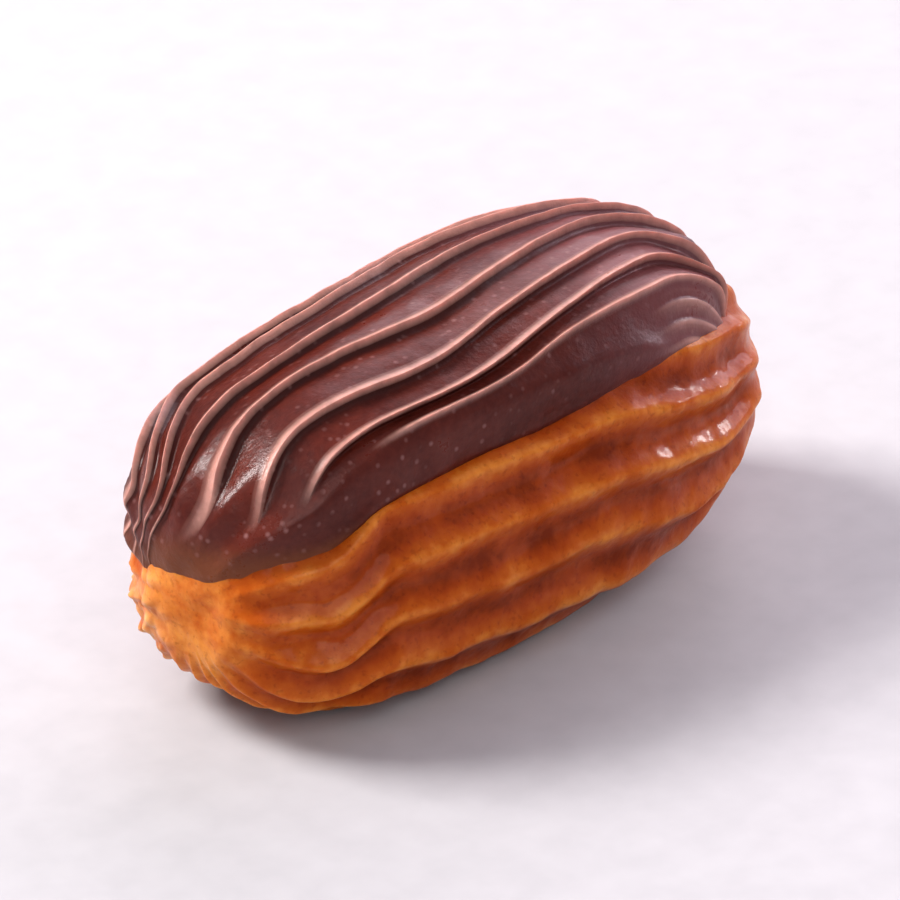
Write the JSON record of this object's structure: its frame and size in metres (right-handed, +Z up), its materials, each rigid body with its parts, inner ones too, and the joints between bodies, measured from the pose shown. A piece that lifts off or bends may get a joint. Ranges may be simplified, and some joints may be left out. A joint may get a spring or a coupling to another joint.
{
  "type": "tulumba pastry",
  "caption": "Ribbed finger of fried dough soaked in syrup, with a ribbon of piped chocolate cream along its top and over one end.",
  "frame": {"origin": "under the middle of the piece, on the plane that it rests on", "axes": "+X along the finger from its ragged cut end to its rounded end, +Y across it, +Z up out of the cream"},
  "size_m": [0.0588, 0.027, 0.0289],
  "materials": {
    "dough": "golden-brown fried crust, glossy with syrup",
    "cream": "semi-gloss chocolate cream, its crests lighter than its grooves"
  },
  "bodies": {
    "root": {"dough": "dough", "cream": "cream"}
  },
  "joints": []
}
